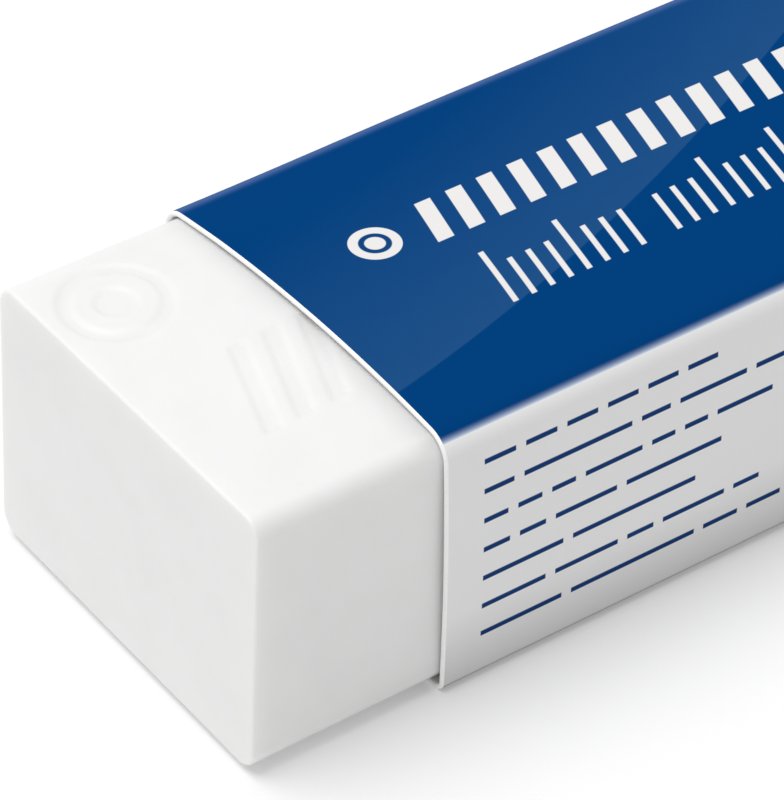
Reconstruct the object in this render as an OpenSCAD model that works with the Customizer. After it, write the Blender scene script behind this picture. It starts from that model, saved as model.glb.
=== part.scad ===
// Vinyl eraser in a folded card sleeve.
// The block is one moulded piece with rounded long edges and two cut ends.
// The sleeve is one strip of card, folded round the block and glued along a lap.
// X runs along the eraser with its bare end at minus X, Y runs across and Z up.
// The origin is the middle of the underside. All sizes are in millimetres.

/* [Eraser block] */
// length of the whole block, with the stretch inside the sleeve
block_l = 55; // [40:1:75]
// width of the block
block_w = 19; // [14:0.5:30]
// height of the block
block_h = 13; // [9:0.5:20]
// radius of the four long edges
edge_r = 1; // [0.4:0.1:2.5]
// radius left on the cut edges of both ends
end_r = 0.2; // [0.1:0.05:0.35]

/* [Card sleeve] */
// length of the sleeve along the block
sleeve_l = 44; // [25:1:65]
// length of block that shows in front of the sleeve
show_l = 9.1; // [4:0.1:20]
// thickness of the card
card_t = 0.24; // [0.2:0.02:0.6]
// play between the block and the card where it comes closest
slide_gap = 0.08; // [0.06:0.02:0.3]
// how far the top panel bulges between its folds
top_bow = 0.55; // [0.1:0.05:0.8]
// how far each side panel bulges between its folds
side_bow = 0.1; // [0.1:0.05:0.5]
// inside radius of the two lower folds
crease_r = 0.4; // [0.15:0.05:0.5]

/* [Glue lap] */
// distance from the far upper fold down to the free edge of the lap
lap_short = 2.5; // [1:0.5:4]
// height of the outer side panel's cut edge above the underside
lap_lift = 0.2; // [0.1:0.05:0.5]
// thickness of the glue film between the lap and the side panel
glue_t = 0.04; // [0.02:0.01:0.1]

/* [Hidden] */
$fn = 96;
// straight steps that make up a fold and a bowed panel
fold_steps = 10;
bow_steps = 16;

// the block rests one card thickness and the play above the underside
base_z = card_t + slide_gap;
top_z = base_z + block_h;
mid_z = base_z + block_h / 2;
// half width and half height of the block's flat faces
flat_y = block_w / 2 - edge_r;
flat_z = block_h / 2 - edge_r;

// outside radius of the bowed panels, from their bulge over the flat faces
top_r = (flat_y * flat_y + top_bow * top_bow) / (2 * top_bow) + card_t;
side_r = (flat_z * flat_z + side_bow * side_bow) / (2 * side_bow) + card_t;
// the outer far side lies over the lap, with the glue between them
wrap_r = side_r + glue_t + card_t;
// centres of the bowed panels in the cross-section
bulge_y = block_w / 2 + slide_gap + side_bow + card_t;
top_c = [0, top_z + slide_gap + top_bow + card_t - top_r];
near_c = [side_r - bulge_y, mid_z];
far_c = [bulge_y - side_r, mid_z];

// outside radius of the upper folds, which follow the block's long edges
fold_r = edge_r + slide_gap + card_t;
// outside radius of the lower folds, which are creased tighter
low_r = min(crease_r, edge_r + slide_gap) + card_t;
// free edge of the glue lap
lap_z = top_z - edge_r - lap_short;
// centres of the four folds
far_fold = meet(far_c, wrap_r - fold_r, top_c, top_r - fold_r);
near_fold = meet(near_c, side_r - fold_r, top_c, top_r - fold_r);
near_low = [near_c[0] - low_run(side_r), low_r];
far_low = [far_c[0] + low_run(side_r), low_r];

// curved stretches of the strip of card in the order in which it is folded:
// centre, outside radius, first and last heading and number of steps
strip = [
    [far_c, wrap_r, asin((lap_lift - mid_z) / wrap_r), heading(far_c, far_fold), bow_steps],
    [far_fold, fold_r, heading(far_c, far_fold), heading(top_c, far_fold), fold_steps],
    [top_c, top_r, heading(top_c, far_fold), heading(top_c, near_fold), bow_steps],
    [near_fold, fold_r, heading(top_c, near_fold), heading(near_c, near_fold), fold_steps],
    [near_c, side_r, heading(near_c, near_fold), heading(near_c, near_low), bow_steps],
    [near_low, low_r, heading(near_c, near_low), 270, fold_steps],
    [far_low, low_r, 270, heading(far_c, far_low), fold_steps],
    [far_c, side_r, heading(far_c, far_low) - 360, asin((lap_z - mid_z) / side_r), bow_steps]
];
// the first stretch after the flat bottom panel, which does not start where the last one ends
after_bottom = 6;

// the block and sleeve lie so that the whole is centred
front_x = -max(block_l, show_l + sleeve_l) / 2;
// the double card of the lap moves the block off the middle
shift_y = -(wrap_r - side_r) / 2;

// centre of the circle that touches two panels: distances a_r and b_r, above the middle
function meet(a, a_r, b, b_r) =
    let (d = norm(b - a))
    let (u = (b - a) / d)
    let (k = (a_r * a_r - b_r * b_r + d * d) / (2 * d))
    let (h = sqrt(a_r * a_r - k * k))
    let (p = a + k * u)
    [for (q = [p + h * [-u[1], u[0]], p - h * [-u[1], u[0]]]) if (q[1] > mid_z) q][0];

// run from a side panel's centre to the centre of its lower fold
function low_run(r) = sqrt(pow(r - low_r, 2) - pow(mid_z - low_r, 2));

// direction from a to b in degrees, from 0 to 360
function heading(a, b) = (atan2(b[1] - a[1], b[0] - a[0]) + 360) % 360;

// points of the strip's face that lies inset below the outside one
function face_points(inset) = [
    for (k = [0:len(strip) - 1])
        let (s = strip[k])
        for (i = [(k == 0 || k == after_bottom ? 0 : 1):s[4]])
            let (a = s[2] + (s[3] - s[2]) * i / s[4])
            s[0] + (s[1] - inset) * [cos(a), sin(a)]
];

// the same points from last to first
function reversed(points) = [for (i = [len(points) - 1:-1:0]) points[i]];

// rectangle with rounded corners, centred
module rounded_plate(l, w, r) {
    square([l - 2 * r, w], center = true);
    square([l, w - 2 * r], center = true);
    for (x = [-1, 1]) {
        for (y = [-1, 1]) {
            translate([x * (l / 2 - r), y * (w / 2 - r)])
                circle(r);
        }
    }
}

// one long edge of the block as a rod with softened ends
module edge_rod() {
    rotate([0, 90, 0])
        rotate_extrude()
            intersection() {
                rounded_plate(2 * edge_r, block_l, end_r);
                translate([0, -block_l / 2])
                    square([edge_r, block_l]);
            }
}

// the block about its own centre: two crossed slabs and four edge rods
module block_form() {
    rotate([90, 0, 0])
        linear_extrude(height = 2 * flat_y, center = true)
            rounded_plate(block_l, block_h, end_r);
    linear_extrude(height = 2 * flat_z, center = true)
        rounded_plate(block_l, block_w, end_r);
    for (y = [-1, 1]) {
        for (z = [-1, 1]) {
            translate([0, y * flat_y, z * flat_z])
                edge_rod();
        }
    }
}

// cross-section of the folded card
module card_section() {
    polygon(concat(face_points(0), reversed(face_points(card_t))));
}

module eraser_block() {
    color("#f5f5f3")
        translate([front_x + block_l / 2, shift_y, mid_z])
            block_form();
}

module card_sleeve() {
    color("#0f4a8f")
        translate([front_x + show_l, shift_y, 0])
            rotate([90, 0, 90])
                linear_extrude(height = sleeve_l)
                    card_section();
}

eraser_block();
card_sleeve();
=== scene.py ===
"""Looks of a vinyl eraser in a folded card sleeve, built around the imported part.

X runs along the eraser from its bare end, Y runs across it and Z up, as in the part.
Named sizes are in millimetres, and Blender's own coordinates are in metres.
"""

import logging
import math
from dataclasses import dataclass, field
from enum import Enum, IntEnum
from typing import Dict, Iterable, List, Optional, Sequence, Tuple, Union

import bpy
import numpy as np
from mathutils import Matrix, Vector, noise


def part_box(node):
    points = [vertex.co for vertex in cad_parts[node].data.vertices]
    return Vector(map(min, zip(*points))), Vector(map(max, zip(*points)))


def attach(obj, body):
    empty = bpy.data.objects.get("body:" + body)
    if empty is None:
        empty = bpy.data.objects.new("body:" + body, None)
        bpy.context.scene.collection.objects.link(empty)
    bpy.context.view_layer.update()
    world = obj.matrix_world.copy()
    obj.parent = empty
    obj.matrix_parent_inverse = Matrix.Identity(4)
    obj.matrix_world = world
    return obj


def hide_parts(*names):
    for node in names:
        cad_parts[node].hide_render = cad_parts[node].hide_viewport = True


logging.basicConfig(level=logging.INFO, format="%(message)s")
LOG = logging.getLogger("eraser")

MM = 0.001
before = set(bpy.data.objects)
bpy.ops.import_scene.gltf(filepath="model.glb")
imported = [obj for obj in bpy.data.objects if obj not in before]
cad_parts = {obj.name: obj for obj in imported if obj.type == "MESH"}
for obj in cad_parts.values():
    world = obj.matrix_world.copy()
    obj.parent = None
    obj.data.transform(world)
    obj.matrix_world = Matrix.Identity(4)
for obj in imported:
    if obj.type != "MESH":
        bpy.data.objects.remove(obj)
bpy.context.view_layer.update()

Colour = Tuple[float, float, float]
Span = Tuple[float, float]
Operand = Union["Wire", float, int]

BLACK: Colour = (0.0, 0.0, 0.0)


class Slot(Enum):
    """Names of the record's material slots for the two pieces; the code below does not use them.
    """

    VINYL = "white_vinyl"
    CARD = "printed_card"


class Layer(Enum):
    """Which finish a face of the card sleeve gets."""

    PRINTED = 0
    CUT = 1
    INSIDE = 2


class Stretch(IntEnum):
    """Curved stretches of the strip of card, in the order in which it is folded."""

    WRAP = 0
    FAR_FOLD = 1
    TOP = 2
    NEAR_FOLD = 3
    NEAR_SIDE = 4
    NEAR_CREASE = 5
    FAR_CREASE = 6
    LAP = 7


class Wire:
    """One output of a shader graph, with arithmetic that adds nodes."""

    def __init__(self, graph: "Graph", socket: Optional[bpy.types.NodeSocket]) -> None:
        """Keeps the graph and the socket, which an output node lacks."""
        self.graph = graph
        self.socket = socket

    def _math(self, operation: str, *values: Operand) -> "Wire":
        """A Math node over the given values."""
        settings = {"operation": operation}
        return self.graph.node("ShaderNodeMath", settings, dict(enumerate(values)))

    def __add__(self, other: Operand) -> "Wire":
        """The sum."""
        return self._math("ADD", self, other)

    def __radd__(self, other: Operand) -> "Wire":
        """The sum with a number in front."""
        return self._math("ADD", other, self)

    def __sub__(self, other: Operand) -> "Wire":
        """The difference."""
        return self._math("SUBTRACT", self, other)

    def __rsub__(self, other: Operand) -> "Wire":
        """A number less this value."""
        return self._math("SUBTRACT", other, self)

    def __mul__(self, other: Operand) -> "Wire":
        """The product."""
        return self._math("MULTIPLY", self, other)

    def __rmul__(self, other: Operand) -> "Wire":
        """The product with a number in front."""
        return self._math("MULTIPLY", other, self)

    def __truediv__(self, other: Operand) -> "Wire":
        """The quotient."""
        return self._math("DIVIDE", self, other)

    def __neg__(self) -> "Wire":
        """The value with its sign turned."""
        return self._math("MULTIPLY", self, -1.0)

    def __abs__(self) -> "Wire":
        """The size of the value without its sign."""
        return self._math("ABSOLUTE", self)

    def __mod__(self, other: Operand) -> "Wire":
        """The remainder, never negative."""
        return self._math("FLOORED_MODULO", self, other)

    def floor(self) -> "Wire":
        """The whole number below."""
        return self._math("FLOOR", self)

    def least(self, other: Operand) -> "Wire":
        """The smaller of two values."""
        return self._math("MINIMUM", self, other)

    def most(self, other: Operand) -> "Wire":
        """The larger of two values."""
        return self._math("MAXIMUM", self, other)

    def share(self) -> "Wire":
        """The value kept from nought to one."""
        return self.most(0.0).least(1.0)

    def above(self, level: Operand, soft: float) -> "Wire":
        """One where the value is over a level and nought under it.

        Args:
            level: the value at the middle of the step.
            soft: width of the step.

        Returns:
            A value from nought to one with a smooth step.
        """
        settings = {"interpolation_type": "SMOOTHSTEP"}
        inputs = {"Value": self - level, "From Min": -soft / 2, "From Max": soft / 2}
        return self.graph.node("ShaderNodeMapRange", settings, inputs)

    def below(self, level: Operand, soft: float) -> "Wire":
        """One where the value is under a level."""
        return 1.0 - self.above(level, soft)

    def between(self, low: Operand, high: Operand, soft: float) -> "Wire":
        """One where the value lies between two levels."""
        return self.above(low, soft) * self.below(high, soft)


class Graph:
    """A material's node tree, with one method for adding any node."""

    def __init__(self, name: str) -> None:
        """Makes an empty material of that name."""
        self.material = bpy.data.materials.new(name)
        self.material.use_nodes = True
        self.tree = self.material.node_tree
        self.tree.nodes.clear()

    def node(
        self,
        kind: str,
        settings: Optional[Dict[str, object]] = None,
        inputs: Optional[Dict[Union[int, str], object]] = None,
        output: Union[int, str] = 0,
    ) -> Wire:
        """Adds a node, sets it up and links its inputs.

        Args:
            kind: the node's type name.
            settings: properties that are set before the inputs.
            inputs: sockets by number or name, each a wire or a plain value.
            output: the output that is returned.

        Returns:
            The chosen output as a wire.
        """
        made = self.tree.nodes.new(kind)
        for key, value in (settings or {}).items():
            setattr(made, key, value)
        for key, value in (inputs or {}).items():
            if isinstance(value, Wire):
                self.tree.links.new(value.socket, made.inputs[key])
            else:
                made.inputs[key].default_value = value
        return Wire(self, made.outputs[output] if made.outputs else None)

    def mix(self, factor: Operand, first: object, second: object) -> Wire:
        """Colour that goes from the first to the second.

        Args:
            factor: nought for the first colour and one for the second.
            first: a wire or a colour.
            second: a wire or a colour.

        Returns:
            The mixed colour.
        """
        factor_key, first_key, second_key, result = 0, 6, 7, 2
        inputs = {factor_key: factor}
        for key, colour in ((first_key, first), (second_key, second)):
            inputs[key] = colour if isinstance(colour, Wire) else (*colour, 1.0)
        settings = {"data_type": "RGBA", "clamp_factor": True}
        return self.node("ShaderNodeMix", settings, inputs, result)

    def place(self) -> Wire:
        """Position on the piece in millimetres."""
        where = self.node("ShaderNodeTexCoord", output="Object")
        scaled = {0: where, "Scale": 1 / MM}
        return self.node("ShaderNodeVectorMath", {"operation": "SCALE"}, scaled)

    def grain(
        self, where: Wire, size: float, detail: float = 2.0, stretch: Sequence[float] = (1, 1, 1)
    ) -> Wire:
        """Soft noise whose features are about size millimetres across.

        Args:
            where: position in millimetres.
            size: width of a feature.
            detail: octaves of finer noise.
            stretch: how much longer the features are along each axis.

        Returns:
            A value around one half.
        """
        scale = tuple(1 / (size * s) for s in stretch)
        spread = self.node("ShaderNodeVectorMath", {"operation": "MULTIPLY"}, {0: where, 1: scale})
        inputs = {"Vector": spread, "Scale": 1.0, "Detail": detail}
        return self.node("ShaderNodeTexNoise", inputs=inputs)

    def split(self, vector: Wire) -> Tuple[Wire, Wire, Wire]:
        """The three parts of a vector."""
        made = self.node("ShaderNodeSeparateXYZ", inputs={0: vector})
        outputs = made.socket.node.outputs
        return Wire(self, outputs[0]), Wire(self, outputs[1]), Wire(self, outputs[2])

    def bump(self, height: Wire, millimetres: float) -> Wire:
        """Normal that is tilted by a height of so many millimetres."""
        inputs = {"Height": height, "Strength": 1.0, "Distance": millimetres * MM}
        return self.node("ShaderNodeBump", inputs=inputs)

    def surface(self, fixed: Dict[str, object], varying: Dict[str, Wire]) -> bpy.types.Material:
        """Ends the graph with one shader.

        Args:
            fixed: constants set on the shader's own sockets.
            varying: wires for colour, roughness and normal.

        Returns:
            The finished material.
        """
        shader = self.node("ShaderNodeBsdfPrincipled", inputs={**fixed, **varying})
        self.node("ShaderNodeOutputMaterial", inputs={"Surface": shader})
        return self.material


@dataclass(frozen=True)
class VinylFinish:
    """Soft white vinyl, matte with a fine moulded grain."""

    white: Colour = (0.826, 0.826, 0.822)
    shade: Colour = (0.806, 0.806, 0.802)
    grain_size: float = 0.16
    grain_height: float = 0.0016
    wave_size: float = 1.1
    mottle_size: float = 2.6
    scuff_size: float = 0.5
    # Painted shade beside the sleeve's edge, at the foot of the sides and along the underside
    # edge.
    rim_shade_reach: float = 1.5
    rim_shade_depth: float = 0.4
    rim_shade_strength: float = 0.17
    foot: float = 0.32
    foot_shade_reach: float = 1.6
    foot_shade_strength: float = 0.10
    underside: float = 0.45
    underside_shade_strength: float = 0.24
    shade_fade_length: float = 9.0

    def build(self, rim: float, top: float) -> bpy.types.Material:
        """The vinyl's material.

        Args:
            rim: place of the sleeve's front edge along the block.
            top: height of the block's top face.

        Returns:
            The material, with painted shade near the desk and on the top beside the sleeve's edge.
        """
        graph = Graph("soft_white_vinyl")
        where = graph.place()
        mottle = graph.grain(where, self.mottle_size, 3.0)
        scuffs = graph.grain(where, self.scuff_size, 4.0, (6, 1, 1)).above(0.60, 0.12)
        colour = graph.mix(mottle.above(0.52, 0.5), self.white, self.shade)
        along, _, up = graph.split(where)
        # Painted shade: darkens the top beside the sleeve's edge and the lower edges towards the
        # desk.
        colour = graph.mix(self._painted_shade(along, up, rim, top), colour, BLACK)
        waves = graph.grain(where, self.wave_size, 1.0)
        height = graph.grain(where, self.grain_size, 3.0) + 0.5 * waves
        roughness = 0.40 + 0.08 * mottle + 0.05 * scuffs
        fixed = {
            "Specular IOR Level": 0.5,
            "Subsurface Weight": 0.45,
            "Subsurface Scale": 0.0012,
            "Subsurface Radius": (1.0, 0.95, 0.9),
        }
        normal = graph.bump(height, self.grain_height)
        varying = {"Base Color": colour, "Roughness": roughness, "Normal": normal}
        return graph.surface(fixed, varying)

    def _painted_shade(self, along: Wire, up: Wire, rim: float, top: float) -> Wire:
        """Share of painted shade: on the top beside the sleeve's edge, and along the foot and
        underside of the sides.
        """
        beside = (1.0 - abs(along - rim) / self.rim_shade_reach).most(0.0)
        rim_shade = beside * up.above(top - self.rim_shade_depth, 0.6)
        foot = self.foot_shade_strength * (1.0 - (up - self.foot) / self.foot_shade_reach).share()
        underside = self.underside_shade_strength * up.below(self.foot + self.underside, 0.35)
        close = (1.0 - (rim - along) / self.shade_fade_length).share()
        return self.rim_shade_strength * rim_shade * rim_shade + (foot + underside) * close


@dataclass(frozen=True)
class StrokeRow:
    """Row of slanted strokes, with places in millimetres on the unfolded card."""

    start: float
    span: Span
    pitch: float
    width: float
    lean: float
    inset: float = 0.06

    def upright(self, along: Wire, across: Wire) -> Wire:
        """Distance from the row's start, with the slant taken out."""
        return along - self.start - self.lean * (across - self.span[0])

    def ink(self, along: Wire, across: Wire, end: float, soft: float) -> Wire:
        """Where the strokes are.

        Args:
            along: distance from the sleeve's front edge.
            across: distance across the card.
            end: where the room for the row ends, which ends with a whole stroke.
            soft: width of a stroke's soft edge.

        Returns:
            One on the strokes.
        """
        upright = self.upright(along, across)
        stroke = (upright % self.pitch).between(self.inset, self.inset + self.width, soft)
        last = math.floor((end - self.start) / self.pitch) * self.pitch
        return stroke * across.between(*self.span, soft) * upright.between(0.0, last, soft)


@dataclass(frozen=True)
class PrintedCardFinish:
    """Coated card with blue broad faces, white narrow ones and generic rows of print.

    Places are in millimetres on the unfolded card: along it from the front edge, and across it
    from the lower end of the near upper fold. The rows on the near side have ends and numbers
    of words of their own.
    """

    deep: Colour = (0.0002, 0.0460, 0.1850)
    light: Colour = (0.0120, 0.0720, 0.2200)
    # Painted highlight colour for the far fold.
    sheen: Colour = (0.0600, 0.1300, 0.3300)
    white: Colour = (0.832, 0.832, 0.832)
    print_white: Colour = (0.765, 0.757, 0.752)
    navy: Colour = (0.0100, 0.0450, 0.1700)
    # Painted highlight colour where the blue meets the near fold.
    folded: Colour = (0.4400, 0.5300, 0.7000)
    fibre_size: float = 0.11
    mottle_size: float = 1.4
    surface_height: float = 0.0010
    ink_soft: float = 0.05
    blue_start: float = 1.00
    blue_margin: float = 0.2
    fold_highlight_width: float = 0.32
    bare_rim: float = 0.05
    curve: Tuple[float, float, float] = (4.1, 0.20, 0.0058)
    curve_fade: float = 11.0
    sheen_band: Span = (0.08, 0.55)
    # Painted shade towards the desk and at the lower fold.
    desk_reach: float = 4.2
    desk_strength: float = 0.27
    desk_fold: float = 0.38
    desk_fold_strength: float = 0.42
    bold: StrokeRow = StrokeRow(7.1, (10.88, 13.65), 1.6, 0.82, 0.28)
    thin: StrokeRow = StrokeRow(7.3, (6.02, 8.40), 0.95, 0.27, 0.20)
    tall: StrokeRow = StrokeRow(7.3, (6.02, 9.35), 3.8, 0.27, 0.20)
    thin_gap: Span = (7.1, 8.1)
    dot_place: Span = (5.0, 12.35)
    dot_squared: float = 0.20
    ring_squared: Span = (0.50, 1.30)
    row_margin: float = 4.2
    dash_pitch: float = 1.54
    dash_thick: float = 0.27
    dash_gap: float = 0.5
    joined_share: float = 0.62
    side_place: Span = (1.9, 0.65)
    side_ends: Tuple[float, ...] = (13.9, 17.5, 16.95, 14.3, 13.0, 16.55, 17.85)
    side_words: Tuple[int, ...] = (6, 8, 9, 7, 5, 8, 7)
    bar_field: Span = (10.8, 25.2)
    bar_width: float = 0.30
    bar_rows: Span = (2.4, 9.4)
    far_margin: float = 2.6
    far_word: float = 2.3
    far_words: int = 5
    far_rows: int = 3

    def build(self, length: float, far_fold: Span, bottom: float) -> bpy.types.Material:
        """The printed face.

        Args:
            length: length of the sleeve.
            far_fold: where the far upper fold begins and ends across the card.
            bottom: where the bottom panel begins.

        Returns:
            The material, which reads the place on the unfolded card.
        """
        graph = Graph("printed_card_face")
        flat = graph.node("ShaderNodeAttribute", {"attribute_name": "unfolded"}, output="Vector")
        along, across, _ = graph.split(flat)
        below = across.below(bottom, 0.02)
        broad = across + below * (bottom - across - across)
        fibre = graph.grain(graph.place(), self.fibre_size, 3.0, (2.5, 1, 1))
        mottle = graph.grain(graph.place(), self.mottle_size)
        blue = self._blue(graph, along, broad, far_fold, mottle)
        rows = self._rows(along, broad, length - self.row_margin)
        top = graph.mix(rows, blue, self.print_white)
        down = across - far_fold[1]
        dashes = self._side_print(graph, along, across).most(self._far_print(graph, along, down))
        side = graph.mix(dashes, self.white, self.navy)
        blue_end = far_fold[1] + self.blue_margin
        ink = across.above(self.blue_start, self.ink_soft) * across.below(blue_end, self.ink_soft)
        face = graph.mix(ink.most(below), side, top)
        _, _, up = graph.split(graph.place())
        # Painted shade towards the desk and at the lower fold.
        face = graph.mix(self._desk_shade(up), face, BLACK)
        # Painted highlight along the near fold, mixed over the face.
        fold_highlight = self._painted_fold_highlight(across)
        worn = self._cut_ends(along, fibre, length)
        colour = graph.mix(worn, graph.mix(fold_highlight, face, self.folded), self.white)
        roughness = 0.42 + 0.12 * mottle + 0.25 * worn
        normal = graph.bump(fibre + mottle, self.surface_height)
        fixed = {"Specular IOR Level": 0.005}
        varying = {"Base Color": colour, "Roughness": roughness, "Normal": normal}
        return graph.surface(fixed, varying)

    def _blue(
        self, graph: Graph, along: Wire, across: Wire, far_fold: Span, mottle: Wire
    ) -> Wire:
        """Two tones of blue that meet in a long curve, with a painted sheen highlight along the
        far fold.
        """
        level, slope, bend = self.curve
        past = across - (level + slope * along + bend * along * along)
        glow = past.above(0.0, 0.10) * (1.0 - (past / self.curve_fade).share())
        tones = graph.mix(glow * (0.9 + 0.2 * mottle), self.deep, self.light)
        # Painted sheen highlight across the far fold.
        bent = across - far_fold[0]
        sheen_share = bent.above(self.sheen_band[0], 0.55) * bent.below(self.sheen_band[1], 0.16)
        return graph.mix(0.85 * sheen_share, tones, self.sheen)

    def _rows(self, along: Wire, across: Wire, end: float) -> Wire:
        """A bold row of slanted bars with a ringed dot before it, and a thin row of strokes."""
        bold, thin, tall = (
            row.ink(along, across, end, self.ink_soft) for row in (self.bold, self.thin, self.tall)
        )
        gap = 1.0 - self.thin.upright(along, across).between(*self.thin_gap, 0.02)
        x, y = along - self.dot_place[0], across - self.dot_place[1]
        squared = x * x + y * y
        dot = squared.below(self.dot_squared, 0.05)
        ring = squared.between(*self.ring_squared, 0.08)
        return bold.most(thin.most(tall) * gap).most(dot).most(ring)

    def _line(self, down: Wire) -> Wire:
        """One on the lines that rows of dashes lie on, each in the middle of its pitch."""
        off = abs((down % self.dash_pitch) - self.dash_pitch / 2)
        return off.below(self.dash_thick / 2, self.ink_soft)

    def _words(self, along: Wire, word: Operand) -> Wire:
        """One on the dashes of a row, with a gap at the end of each word."""
        return (along % word).below(word - self.dash_gap, self.ink_soft)

    def _side_print(self, graph: Graph, along: Wire, across: Wire) -> Wire:
        """Rows of plain dashes of uneven length, on the near side."""
        start, first = self.side_place
        down = -across - first + self.dash_pitch / 2
        row = (down / self.dash_pitch).floor()
        word, end = 0.0 * row, 0.0 * row
        for number, (last, words) in enumerate(zip(self.side_ends, self.side_words)):
            this = row.between(number - 0.5, number + 0.5, 0.01)
            word = word + (last + self.dash_gap - start) / words * this
            end = end + last * this
        cell = ((along - start) / word).floor()
        seed = graph.node("ShaderNodeCombineXYZ", inputs={0: cell, 1: row})
        chance = graph.node("ShaderNodeTexWhiteNoise", inputs={"Vector": seed})
        dash = self._words(along - start, word).most(chance.above(self.joined_share, 0.01))
        return self._line(down) * dash * along.between(start, end, self.ink_soft)

    def _far_print(self, graph: Graph, along: Wire, down: Wire) -> Wire:
        """A field of upright bars of uneven width and rows of dashes, on the far side."""
        soft, top = self.ink_soft, self.bar_rows[0]
        cell = (along / self.bar_width).floor() + 0.5
        chance = graph.node("ShaderNodeTexWhiteNoise", {"noise_dimensions": "1D"}, {"W": cell})
        field_here = along.between(*self.bar_field, 0.02) * down.between(*self.bar_rows, soft)
        bars = chance.above(0.5, 0.01) * field_here
        start = self.bar_field[1] + self.far_margin
        last = start + self.far_words * self.far_word - self.dash_gap
        dash = self._words(along - start, self.far_word) * along.between(start, last, soft)
        rows = down.between(top, top + self.far_rows * self.dash_pitch, soft)
        return bars.most(self._line(down - top) * dash * rows)

    def _desk_shade(self, up: Wire) -> Wire:
        """Painted shade on the card, darker towards the surface that it lies on and at the lower
        fold.
        """
        side = self.desk_strength * (1.0 - up / self.desk_reach).most(0.0)
        return side + self.desk_fold_strength * up.below(self.desk_fold, 0.25)

    def _painted_fold_highlight(self, across: Wire) -> Wire:
        """Share of painted highlight where the card is bent over at the near fold."""
        past = ((across - self.blue_start) / self.fold_highlight_width).share()
        fold = (1.0 - past) * across.above(self.blue_start - 0.05, self.ink_soft)
        return 0.9 * fold * fold

    def _cut_ends(self, along: Wire, fibre: Wire, length: float) -> Wire:
        """Share of bare card along the front and rear edges."""
        ragged = 0.04 * (fibre - 0.5)
        front = (along + ragged).below(self.bare_rim, 0.04)
        rear = (along + ragged).above(length - self.bare_rim, 0.04)
        return front.most(rear)


@dataclass(frozen=True)
class RawCardFinish:
    """Uncoated card fibre, for the cut edges and the inside of the sleeve."""

    name: str
    pale: Colour
    dull: Colour
    fibre_size: float
    fibre_height: float

    def build(self) -> bpy.types.Material:
        """The raw card's material."""
        graph = Graph(self.name)
        where = graph.place()
        fibre = graph.grain(where, self.fibre_size, 4.0, (3, 1, 1))
        colour = graph.mix(fibre.above(0.5, 0.4), self.dull, self.pale)
        roughness = 0.82 + 0.1 * fibre
        normal = graph.bump(fibre, self.fibre_height)
        fixed = {"Specular IOR Level": 0.2}
        varying = {"Base Color": colour, "Roughness": roughness, "Normal": normal}
        return graph.surface(fixed, varying)


@dataclass(frozen=True)
class FloorFinish:
    """Plain pale floor."""

    pale: Colour = (0.73, 0.73, 0.73)
    shade: Colour = (0.725, 0.725, 0.725)
    glow: float = 0.195
    haze_size: float = 60.0

    def build(self) -> bpy.types.Material:
        """The floor's material."""
        graph = Graph("pale_floor")
        haze = graph.grain(graph.place(), self.haze_size)
        colour = graph.mix(haze, self.pale, self.shade)
        fixed = {
            "Specular IOR Level": 0.1,
            "Emission Color": (1.0, 1.0, 1.0, 1.0),
            "Emission Strength": self.glow,
        }
        return graph.surface(fixed, {"Base Color": colour, "Roughness": 0.75 + 0.1 * haze})


class Skin:
    """Collects points and faces in millimetres and makes them into a mesh object."""

    def __init__(self, name: str) -> None:
        """Starts an empty skin."""
        self.name = name
        self.points: List[Tuple[float, float, float]] = []
        self.faces: List[Tuple[int, ...]] = []
        self.layers: List[int] = []
        self.unfolded: List[Tuple[float, float, float]] = []

    def add_points(
        self, points: Iterable[Sequence[float]], unfolded: Optional[Iterable] = None
    ) -> int:
        """Adds points.

        Args:
            points: positions in millimetres.
            unfolded: the place of each point on the unfolded card.

        Returns:
            The number of the first of them.
        """
        first = len(self.points)
        self.points.extend(tuple(p) for p in points)
        if unfolded is not None:
            self.unfolded.extend(tuple(p) for p in unfolded)
        return first

    def add_face(self, corners: Sequence[int], layer: int = 0) -> None:
        """Adds one face with its finish."""
        self.faces.append(tuple(corners))
        self.layers.append(layer)

    def bridge(self, first: int, second: int, layers: Sequence[int]) -> None:
        """Joins two closed rings of points with quads, one for each layer number given."""
        count = len(layers)
        for k, layer in enumerate(layers):
            n = (k + 1) % count
            self.add_face((first + k, first + n, second + n, second + k), layer)

    def build(
        self, materials: Sequence[bpy.types.Material], sharp: float = 30.0
    ) -> bpy.types.Object:
        """Makes the object.

        Args:
            materials: one for each layer number.
            sharp: angle in degrees above which an edge stays crisp.

        Returns:
            The new object, linked into the scene.
        """
        mesh = bpy.data.meshes.new(self.name)
        mesh.from_pydata((np.array(self.points) * MM).tolist(), [], self.faces)
        for material in materials:
            mesh.materials.append(material)
        mesh.polygons.foreach_set("material_index", self.layers)
        if self.unfolded:
            made = mesh.attributes.new("unfolded", "FLOAT_VECTOR", "POINT")
            made.data.foreach_set("vector", np.array(self.unfolded, float).ravel())
        mesh.validate()
        mesh.shade_smooth()
        mesh.set_sharp_from_angle(angle=math.radians(sharp))
        piece = bpy.data.objects.new(self.name, mesh)
        bpy.context.scene.collection.objects.link(piece)
        LOG.info("%s: %d points, %d faces", self.name, len(mesh.vertices), len(mesh.polygons))
        return piece


def smooth_step(value: np.ndarray) -> np.ndarray:
    """Smooth rise from nought to one while the value goes from nought to one."""
    v = np.clip(value, 0.0, 1.0)
    return v * v * (3 - 2 * v)


def ripple(points: np.ndarray, size: float, seed: float) -> np.ndarray:
    """Soft random rise and fall.

    Args:
        points: positions in millimetres, one per row.
        size: width of a ripple.
        seed: shift that picks another pattern.

    Returns:
        A value from about -1 to 1 for each point.
    """
    places = ((p[0] / size + seed, p[1] / size, p[2] / size) for p in points)
    return np.array([noise.noise(Vector(place)) for place in places])


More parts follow.
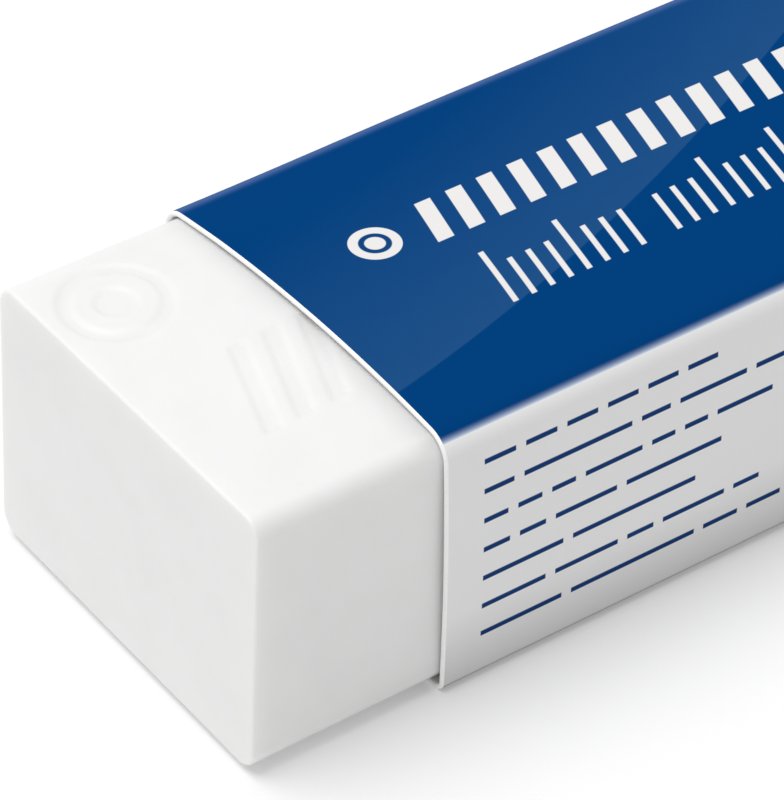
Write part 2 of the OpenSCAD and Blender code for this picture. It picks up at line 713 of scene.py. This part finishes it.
def rounding(radius: float, steps: int) -> List[Span]:
    """Distance along and depth of the points of a rounded edge, from the cut face inward."""
    turns = np.radians(np.linspace(0, 90, steps + 1))[::-1]
    return [(radius * (1 - math.sin(a)), radius * (1 - math.cos(a))) for a in turns]


@dataclass(frozen=True)
class Moulding:
    """Shallow pattern in the block's top: a ring, a spot and slanted bars, again and again.

    A place is a distance from the start of a repeat and a distance from the middle line.
    """

    depth: float = 0.085
    start: float = 0.4
    pitch: float = 18.0
    soft: float = 0.22
    ring_place: Span = (3.0, 5.5)
    ring_radius: float = 2.3
    ring_half: float = 0.30
    spot_radius: float = 0.95
    bars: int = 3
    bar_place: Span = (4.6, -2.5)
    bar_pitch: float = 1.7
    bar_lean: float = 0.35
    bar_half: Span = (0.42, 2.6)

    def _within(self, reach: float, distance: np.ndarray) -> np.ndarray:
        """One where a distance is less than a reach, with a soft wall."""
        return smooth_step((reach - distance) / self.soft + 0.5)

    def share(self, x: np.ndarray, y: np.ndarray) -> np.ndarray:
        """Depth share of the pattern.

        Args:
            x: distance from the bare end.
            y: distance from the middle line.

        Returns:
            Nought on the plain face and one at the bottom of the pattern.
        """
        local = (x - self.start) % self.pitch
        reach = np.hypot(local - self.ring_place[0], y - self.ring_place[1])
        ring = self._within(self.ring_half, np.abs(reach - self.ring_radius))
        deepest = np.maximum(ring, self._within(self.spot_radius, reach))
        down = y - self.bar_place[1]
        for k in range(self.bars):
            off = local - self.bar_place[0] - self.bar_pitch * k - self.bar_lean * down
            side = self._within(self.bar_half[0], np.abs(off))
            deepest = np.maximum(deepest, side * self._within(self.bar_half[1], np.abs(down)))
        return deepest


@dataclass
class EraserBlock:
    """The moulded vinyl block, with rounded long edges, cut ends and a pattern on top."""

    low: Vector
    high: Vector
    rim: float
    edge_radius: float = 1.0
    end_lean: float = 0.037
    lean_reach: float = 6.0
    end_radius: float = 0.12
    end_steps: int = 5
    crown: float = 0.50
    crown_run: float = 8.0
    station_step: float = 0.14
    sway: float = 0.012
    sway_size: float = 7.0
    cap_sway: float = 0.010
    cap_sway_size: float = 3.0
    sharp: float = 50.0
    moulding: Moulding = field(default_factory=Moulding)
    finish: VinylFinish = field(default_factory=VinylFinish)

    @property
    def size(self) -> Vector:
        """Length, width and height in millimetres."""
        return (self.high - self.low) / MM

    @property
    def middle(self) -> Vector:
        """Centre of the block in millimetres."""
        return (self.high + self.low) / 2 / MM

    def section(self) -> Tuple[np.ndarray, np.ndarray]:
        """Points round the block's cross-section with their outward directions.

        Returns:
            Two arrays of Y and Z, counter-clockwise as seen from the covered end.
        """
        half_y, half_z = self.size.y / 2, self.size.z / 2
        flat_y, flat_z = half_y - self.edge_radius, half_z - self.edge_radius
        fine, coarse, corner = 0.14, 0.7, 9
        sides = (
            ((flat_y, -flat_z), (flat_y, flat_z), 0, coarse),
            ((flat_y, flat_z), (-flat_y, flat_z), 90, fine),
            ((-flat_y, flat_z), (-flat_y, -flat_z), 180, coarse),
            ((-flat_y, -flat_z), (flat_y, -flat_z), 270, coarse),
        )
        points, normals = [], []
        for start, end, heading, step in sides:
            a = math.radians(heading)
            out = np.array([math.cos(a), math.sin(a)])
            count = round(math.dist(start, end) / step)
            for t in np.arange(count) / count:
                centre = np.array(start) * (1 - t) + np.array(end) * t
                points.append(centre + self.edge_radius * out)
                normals.append(out)
            for t in np.arange(corner) / corner:
                b = a + math.radians(90) * t
                turn = np.array([math.cos(b), math.sin(b)])
                points.append(np.array(end) + self.edge_radius * turn)
                normals.append(turn)
        return np.array(points), np.array(normals)

    def stations(self) -> List[Span]:
        """Distance from the bare end and inset of each ring, from end to end."""
        near = rounding(self.end_radius, self.end_steps)
        count = round((self.size.x - 2 * self.end_radius) / self.station_step)
        body = np.linspace(self.end_radius, self.size.x - self.end_radius, count + 1)[1:-1]
        far = [(self.size.x - x, inset) for x, inset in near[::-1]]
        return near + [(x, 0.0) for x in body] + far

    def build(self) -> bpy.types.Object:
        """The block as one closed mesh.

        Returns:
            The finished piece, riding on its body.
        """
        section, normals = self.section()
        count = len(section)
        skin = Skin("vinyl_block")
        rings = []
        for x, inset in self.stations():
            yz = section - inset * normals
            ring = np.column_stack([np.full(count, x), yz])
            rings.append(ring)
        rings = self._worked(np.array(rings), normals)
        for ring in rings:
            skin.add_points(ring)
        for k in range(len(rings) - 1):
            skin.bridge(k * count, (k + 1) * count, [0] * count)
        self._cap(skin, rings[0], 0, True)
        self._cap(skin, rings[-1], (len(rings) - 1) * count, False)
        piece = skin.build([self.finish.build(self.rim, self.high.z / MM)], self.sharp)
        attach(piece, "block")
        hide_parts("eraser_block")
        return piece

    def _worked(self, rings: np.ndarray, normals: np.ndarray) -> np.ndarray:
        """Adds the moulded pattern and the slight unevenness, then moves the rings into place."""
        flat = rings.reshape(-1, 3)
        outward = np.tile(normals, (len(rings), 1))
        level, soft, seed = 0.995, 0.004, 3.1
        top = smooth_step((outward[:, 1] - level) / soft)
        depth = self.moulding.depth * self.moulding.share(flat[:, 0], flat[:, 1]) * top
        sway = self.sway * (ripple(flat, self.sway_size, seed) - 1.0)
        shift = sway - depth + self._crowned(flat) * top
        flat[:, 1:] += outward * shift[:, None]
        flat[:, 0] += self._lean(flat)
        flat += np.array([self.low.x / MM, self.middle.y, self.middle.z])
        return flat.reshape(rings.shape)

    def _crowned(self, points: np.ndarray) -> np.ndarray:
        """Rise of the top face, which is flat at both ends."""
        flat_y = self.size.y / 2 - self.edge_radius
        near = points[:, 0] / self.crown_run
        far = (self.size.x - points[:, 0]) / self.crown_run
        across = np.clip(1 - (points[:, 1] / flat_y) ** 2, 0, 1)
        return self.crown * across * smooth_step(near) * smooth_step(far)

    def _lean(self, points: np.ndarray) -> np.ndarray:
        """Distance that the slanted cut of the bare end draws each point back."""
        share = np.clip(1 - points[:, 0] / self.lean_reach, 0, 1)
        return self.end_lean * (points[:, 2] + self.size.z / 2) * share

    def _cap(self, skin: Skin, ring: np.ndarray, first: int, bare: bool) -> None:
        """Closes one end with shrinking rings and a last small face."""
        count = len(ring)
        centre = ring.mean(axis=0)
        shares, seed = (0.97, 0.9, 0.75, 0.55, 0.35, 0.15), 9.7
        sway = self.cap_sway if bare else -self.cap_sway
        last = first
        for share in shares:
            inner = centre + (ring - centre) * share
            inner[:, 0] += sway * (1 + ripple(inner, self.cap_sway_size, seed))
            new = skin.add_points(inner)
            skin.bridge(*((new, last) if bare else (last, new)), [0] * count)
            last = new
        corners = range(last, last + count)
        skin.add_face(corners if not bare else corners[::-1])


@dataclass
class CardSleeve:
    """The card sleeve: one strip folded round the block and glued along a lap.

    The folds' radii are outside ones, apart from the crease's.
    """

    low: Vector
    high: Vector
    block_low: Vector
    block_high: Vector
    card: float = 0.24
    play: float = 0.08
    top_bow: float = 0.55
    side_bow: float = 0.1
    block_edge: float = 1.0
    crease: float = 0.4
    near_radius: float = 1.30
    glue: float = 0.04
    lap_lift: float = 0.2
    lap_short: float = 2.5
    draw_in: float = 0.17
    draw_inboard: float = 3.0
    draw_reach: float = 16.0
    bevel: float = 0.115
    bevel_steps: int = 4
    skew: float = 0.185
    wrap_dip: float = 0.004
    dip: float = 0.014
    dip_size: Span = (9.0, 5.0)
    station_step: float = 0.5
    steps: Tuple[int, ...] = (24, 14, 60, 10, 32, 10, 10, 24)
    sharp: float = 32.0
    finish: PrintedCardFinish = field(default_factory=PrintedCardFinish)
    cut_finish: RawCardFinish = RawCardFinish(
        "card_cut_edge", (0.98, 0.98, 0.975), (0.94, 0.94, 0.935), 0.12, 0.0012
    )
    inside_finish: RawCardFinish = RawCardFinish(
        "card_inside", (0.90, 0.90, 0.88), (0.84, 0.84, 0.82), 0.14, 0.004
    )

    @property
    def block_size(self) -> Vector:
        """Length, width and height of the block in millimetres."""
        return (self.block_high - self.block_low) / MM

    @property
    def length(self) -> float:
        """Length of the sleeve in millimetres."""
        return (self.high.x - self.low.x) / MM

    def strip(self) -> List[Tuple[np.ndarray, float, float, float]]:
        """Curved stretches of the strip in the order in which it is folded.

        Returns:
            Centre, outside radius, and first and last heading in degrees of each stretch.
        """
        width, height = self.block_size.y, self.block_size.z
        top = self.block_high.z / MM
        mid = top - height / 2
        flat_y = width / 2 - self.block_edge
        flat_z = height / 2 - self.block_edge
        top_r = (flat_y**2 + self.top_bow**2) / (2 * self.top_bow) + self.card
        side_r = (flat_z**2 + self.side_bow**2) / (2 * self.side_bow) + self.card
        wrap_r = side_r + self.glue + self.card
        bulge = width / 2 + self.play + self.side_bow + self.card
        top_c = np.array([0.0, top + self.play + self.top_bow + self.card - top_r])
        near_c = np.array([side_r - bulge, mid])
        far_c = np.array([bulge - side_r, mid])
        fold = self.block_edge + self.play + self.card
        low = self.crease + self.card
        near = self.near_radius
        far_fold = meet(far_c, wrap_r - fold, top_c, top_r - fold, mid)
        near_fold = meet(near_c, side_r - near, top_c, top_r - near, mid)
        run = math.sqrt((side_r - low) ** 2 - (mid - low) ** 2)
        near_low = np.array([near_c[0] - run, low])
        far_low = np.array([far_c[0] + run, low])
        lap_z = top - self.block_edge - self.lap_short
        lap_end = math.degrees(math.asin((lap_z - mid) / side_r))
        wrap_start = math.degrees(math.asin((self.lap_lift - mid) / wrap_r))
        return [
            (far_c, wrap_r, wrap_start, heading(far_c, far_fold)),
            (far_fold, fold, heading(far_c, far_fold), heading(top_c, far_fold)),
            (top_c, top_r, heading(top_c, far_fold), heading(top_c, near_fold)),
            (near_fold, near, heading(top_c, near_fold), heading(near_c, near_fold)),
            (near_c, side_r, heading(near_c, near_fold), heading(near_c, near_low)),
            (near_low, low, heading(near_c, near_low), 270.0),
            (far_low, low, 270.0, heading(far_c, far_low)),
            (far_c, side_r, heading(far_c, far_low) - 360, lap_end),
        ]

    def line(self) -> Tuple[np.ndarray, np.ndarray, np.ndarray, np.ndarray]:
        """The strip's outside line.

        Returns:
            Points, outward directions, place across the unfolded card from the lower end of
            the near upper fold, and the stretch that each point lies on.
        """
        points, normals, stretches = [], [], []
        curves = zip(Stretch, self.steps, self.strip())
        for stretch, steps, (centre, radius, start, end) in curves:
            skip = 0 if stretch in (Stretch.WRAP, Stretch.FAR_CREASE) else 1
            for i in range(skip, steps + 1):
                a = math.radians(start + (end - start) * i / steps)
                out = np.array([math.cos(a), math.sin(a)])
                points.append(centre + radius * out)
                normals.append(out)
                stretches.append(int(stretch))
        points, normals, stretches = np.array(points), np.array(normals), np.array(stretches)
        hops = np.linalg.norm(np.diff(points, axis=0), axis=1)
        lengths = np.concatenate([[0], np.cumsum(hops)])
        zero = lengths[np.flatnonzero(stretches == Stretch.NEAR_FOLD)[-1]]
        return points, normals, zero - lengths, stretches

    def _draw_in(self, points: np.ndarray, stretches: np.ndarray) -> np.ndarray:
        """Distance that the far fold moves in at the sleeve's front, clear of the lap."""
        clear = 0.1
        lap_z = self.block_high.z / MM - self.block_edge - self.lap_short
        rise = smooth_step((points[:, 1] - lap_z - clear) / (self.lap_short - clear))
        fold_y = self.block_size.y / 2 - self.block_edge
        inboard = smooth_step((points[:, 0] - fold_y + self.draw_inboard) / self.draw_inboard)
        return np.where(stretches <= Stretch.TOP, self.draw_in * rise * inboard, 0.0)

    @property
    def far_span(self) -> Span:
        """Where the far upper fold begins and ends across the unfolded card."""
        _, _, across, stretches = self.line()
        here = np.flatnonzero(stretches == Stretch.FAR_FOLD)
        return float(across[here[-1]]), float(across[here[0] - 1])

    def profile(self) -> List[Tuple[float, float, Layer]]:
        """Loop round the card's thickness, seen from its long edge.

        Returns:
            Distance from the front, depth below the outside, and the finish of the face
            that follows.
        """
        length, under = self.length, self.card
        steps = round((length - 2 * self.bevel) / self.station_step)
        stations = list(np.linspace(self.bevel, length - self.bevel, steps + 1))
        outer = [(x, 0.0, Layer.PRINTED) for x in stations[:-1]]
        outer.append((stations[-1], 0.0, Layer.CUT))
        inner = [(x, under, Layer.INSIDE) for x in stations[:0:-1]]
        inner.append((stations[0], under, Layer.CUT))
        near = rounding(self.bevel, self.bevel_steps)[:-1]
        far = [(length - x, depth) for x, depth in near[::-1]]
        far_under = [(x, under - depth) for x, depth in far[::-1]]
        near_under = [(x, under - depth) for x, depth in near[::-1]]
        rounds = (near, far, far_under, near_under)
        cut = [[(x, depth, Layer.CUT) for x, depth in group] for group in rounds]
        return cut[0] + outer + cut[1] + cut[2] + inner + cut[3]

    def build(self) -> bpy.types.Object:
        """The sleeve as one closed mesh.

        Returns:
            The finished piece, riding on its body.
        """
        points, normals, across, stretches = self.line()
        profile = self.profile()
        count = len(profile)
        skin = Skin("folded_card_sleeve")
        shift_y = (self.block_low.y + self.block_high.y) / 2 / MM
        drawn = self._draw_in(points, stretches)
        fade = 1 - smooth_step(np.array([x for x, _, _ in profile]) / self.draw_reach)
        for j, (point, out) in enumerate(zip(points, normals)):
            ring, flat = [], []
            for (x, depth, _), share in zip(profile, fade):
                along = x - self._lean(x, point[0])
                yz = point - (depth + self._dip(x, across[j], stretches[j])) * out
                ring.append((self.low.x / MM + along, yz[0] - drawn[j] * share + shift_y, yz[1]))
                flat.append((x, across[j], 0.0))
            skin.add_points(ring, flat)
        layers = [layer.value for _, _, layer in profile]
        for j in range(len(points) - 1):
            skin.bridge(j * count, (j + 1) * count, layers)
        self._close(skin, 0, count, False)
        self._close(skin, (len(points) - 1) * count, count, True)
        bottom = across[np.flatnonzero(stretches == Stretch.NEAR_CREASE)[-1]]
        printed = self.finish.build(self.length, self.far_span, bottom)
        materials = [printed, self.cut_finish.build(), self.inside_finish.build()]
        piece = skin.build(materials, self.sharp)
        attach(piece, "sleeve")
        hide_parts("card_sleeve")
        return piece

    def _lean(self, x: float, y: float) -> float:
        """Distance that a place on the front half lies forward, because the front is skew."""
        if x >= self.length / 2:
            return 0.0
        return self.skew * y / (self.block_size.y / 2) * (1 - x / self.length)

    def _dip(self, x: float, across: float, stretch: int) -> float:
        """Slight inward unevenness of the panels."""
        if stretch == Stretch.WRAP:
            return self.wrap_dip
        if stretch >= Stretch.NEAR_CREASE:
            return 0.0
        seed = 4.2
        place = Vector((x / self.dip_size[0], across / self.dip_size[1], seed))
        return self.dip * (1 + noise.noise(place))

    def _close(self, skin: Skin, first: int, count: int, last: bool) -> None:
        """Closes one long edge of the strip."""
        for k in range(count // 2 - 1):
            corners = (first + k, first + k + 1, first + count - 2 - k, first + count - 1 - k)
            skin.add_face(corners if last else corners[::-1], Layer.CUT.value)


def meet(a: np.ndarray, a_r: float, b: np.ndarray, b_r: float, above: float) -> np.ndarray:
    """Point at distance a_r from a and b_r from b.

    Args:
        a: first centre.
        a_r: distance from it.
        b: second centre.
        b_r: distance from it.
        above: height that the point lies over.

    Returns:
        The upper of the two points.
    """
    span = float(np.linalg.norm(b - a))
    u = (b - a) / span
    k = (a_r**2 - b_r**2 + span**2) / (2 * span)
    h = math.sqrt(a_r**2 - k**2)
    side = np.array([-u[1], u[0]])
    return next(q for q in (a + k * u + h * side, a + k * u - h * side) if q[1] > above)


def heading(a: np.ndarray, b: np.ndarray) -> float:
    """Direction from a to b in degrees, from 0 to 360."""
    return math.degrees(math.atan2(b[1] - a[1], b[0] - a[0])) % 360


@dataclass
class Studio:
    """Plain pale floor, soft light and the camera."""

    bare_end: Vector
    azimuth: float = -35.875
    elevation: float = 39.420
    roll: float = 0.517
    distance: float = 196.863
    aim_right: float = 10.999
    aim_up: float = 10.422
    lens: float = 212.0
    sensor: float = 36.0
    lamp_way: Tuple[float, float, float] = (-0.25, 0.19, 0.95)
    lamp_distance: float = 1.0
    lamp_size: float = 0.8
    lamp_power: float = 7.65
    sky_strength: float = 0.515
    floor_size: float = 2400.0
    floor_parts: int = 8

    def axes(self) -> Tuple[Vector, Vector, Vector]:
        """The camera's right, up and backward directions."""
        a, e, r = (math.radians(v) for v in (self.azimuth, self.elevation, self.roll))
        back = Vector((math.sin(a) * math.cos(e), -math.cos(a) * math.cos(e), math.sin(e)))
        level = Vector((math.cos(a), math.sin(a), 0))
        upright = back.cross(level)
        right = level * math.cos(r) + upright * math.sin(r)
        up = upright * math.cos(r) - level * math.sin(r)
        return right, up, back

    def camera(self) -> None:
        """Sets the camera at the photograph's viewing angle."""
        right, up, back = self.axes()
        lens = bpy.data.cameras.new("viewpoint")
        lens.lens = self.lens
        lens.sensor_width = self.sensor
        lens.clip_start, lens.clip_end = 0.01, 20.0
        eye = bpy.data.objects.new("viewpoint", lens)
        off = back * self.distance + right * self.aim_right + up * self.aim_up
        place = self.bare_end + off * MM
        turn = Matrix((right, up, back)).transposed().to_4x4()
        eye.matrix_world = Matrix.Translation(place) @ turn
        bpy.context.scene.collection.objects.link(eye)
        bpy.context.scene.camera = eye

    def lamp(self) -> None:
        """Large square overhead light that faces the object."""
        data = bpy.data.lights.new("overhead", "AREA")
        data.size = self.lamp_size
        data.energy = self.lamp_power
        lamp = bpy.data.objects.new("overhead", data)
        way = Vector(self.lamp_way).normalized()
        lamp.location = way * self.lamp_distance
        lamp.rotation_mode = "QUATERNION"
        lamp.rotation_quaternion = way.to_track_quat("Z", "Y")
        bpy.context.scene.collection.objects.link(lamp)

    def surround(self) -> None:
        """A pale surround that fills the shadows."""
        world = bpy.data.worlds.new("pale_surround")
        world.use_nodes = True
        sky = world.node_tree.nodes["Background"]
        sky.inputs["Color"].default_value = (1.0, 1.0, 1.0, 1.0)
        sky.inputs["Strength"].default_value = self.sky_strength
        bpy.context.scene.world = world

    def floor(self) -> None:
        """A wide flat floor under the object."""
        skin = Skin("studio_floor")
        half, parts = self.floor_size / 2, self.floor_parts
        ticks = np.linspace(-half, half, parts + 1)
        skin.add_points([(x, y, 0.0) for y in ticks for x in ticks])
        for j in range(parts):
            for i in range(parts):
                k = j * (parts + 1) + i
                skin.add_face((k, k + 1, k + parts + 2, k + parts + 1))
        skin.build([FloorFinish().build()])

    def build(self) -> None:
        """Floor, light, surround and camera."""
        bpy.context.scene.view_settings.view_transform = "Standard"
        self.floor()
        self.lamp()
        self.surround()
        self.camera()


def main() -> None:
    """Builds the block, the sleeve and the studio."""
    block_low, block_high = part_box("eraser_block")
    sleeve_low, sleeve_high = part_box("card_sleeve")
    block = EraserBlock(block_low, block_high, rim=sleeve_low.x / MM)
    block.build()
    CardSleeve(sleeve_low, sleeve_high, block_low, block_high).build()
    face_x = block_low.x + block.end_lean * block.size.z / 2 * MM
    bare_end = Vector((face_x, block.middle.y * MM, 0.0))
    Studio(bare_end).build()


if __name__ == "__main__":
    main()
